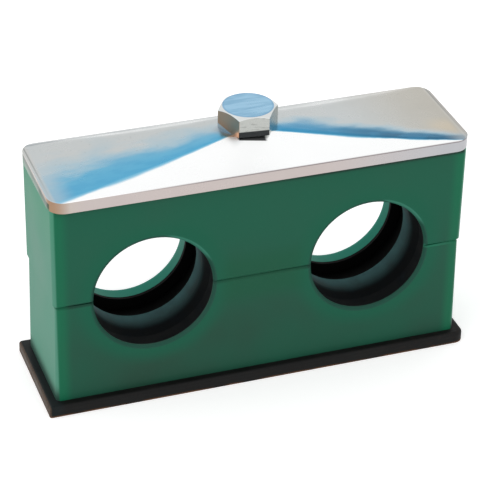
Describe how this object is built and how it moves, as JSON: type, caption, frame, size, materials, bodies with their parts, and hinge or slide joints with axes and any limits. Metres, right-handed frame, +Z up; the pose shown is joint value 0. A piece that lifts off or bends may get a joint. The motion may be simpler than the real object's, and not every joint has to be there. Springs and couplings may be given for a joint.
{
  "type": "hydraulic tube clamp",
  "caption": "Twin hydraulic tube clamp with green moulded halves, black elastomer liners, a pressed cover plate and a weld plate, held by one hexagon bolt.",
  "frame": {"origin": "centre of the weld plate's underside", "axes": "+Z up along the bolt's axis, +X along the clamp's length, tubes run along Y, liners are pushed in from -Y"},
  "size_m": [0.111, 0.0314, 0.0703],
  "materials": {
    "green_moulding": "moulded green polypropylene",
    "black_elastomer": "smooth black elastomer",
    "bright_zinc": "bright zinc with a blue passivation",
    "dark_steel": "dark phosphated steel"
  },
  "bodies": {
    "base": {"weld_plate": "dark_steel", "weld_nut": "dark_steel", "lower_half": "green_moulding", "lower_left_liner": "black_elastomer", "lower_right_liner": "black_elastomer"},
    "upper_jaw": {"upper_half": "green_moulding", "upper_left_liner": "black_elastomer", "upper_right_liner": "black_elastomer"},
    "cover": {"cover_plate": "bright_zinc"},
    "bolt": {"hex_bolt": "bright_zinc"}
  },
  "joints": [
    {"name": "jaw_lift", "type": "slide", "parent": "base", "child": "upper_jaw", "axis": [0, 0, 1], "range_m": [0, 0.04]},
    {"name": "cover_rise", "type": "slide", "parent": "upper_jaw", "child": "cover", "axis": [0, 0, 1], "range_m": [0, 0.008]},
    {"name": "bolt_turn", "type": "hinge", "parent": "cover", "child": "bolt", "pos_m": [0, 0, 0.065], "axis": [0, 0, 1], "range_deg": [0, 2305]}
  ],
  "couplings": [
    {"joint": "bolt_turn", "follows": "cover_rise", "rad_per_m": 5026.5}
  ]
}
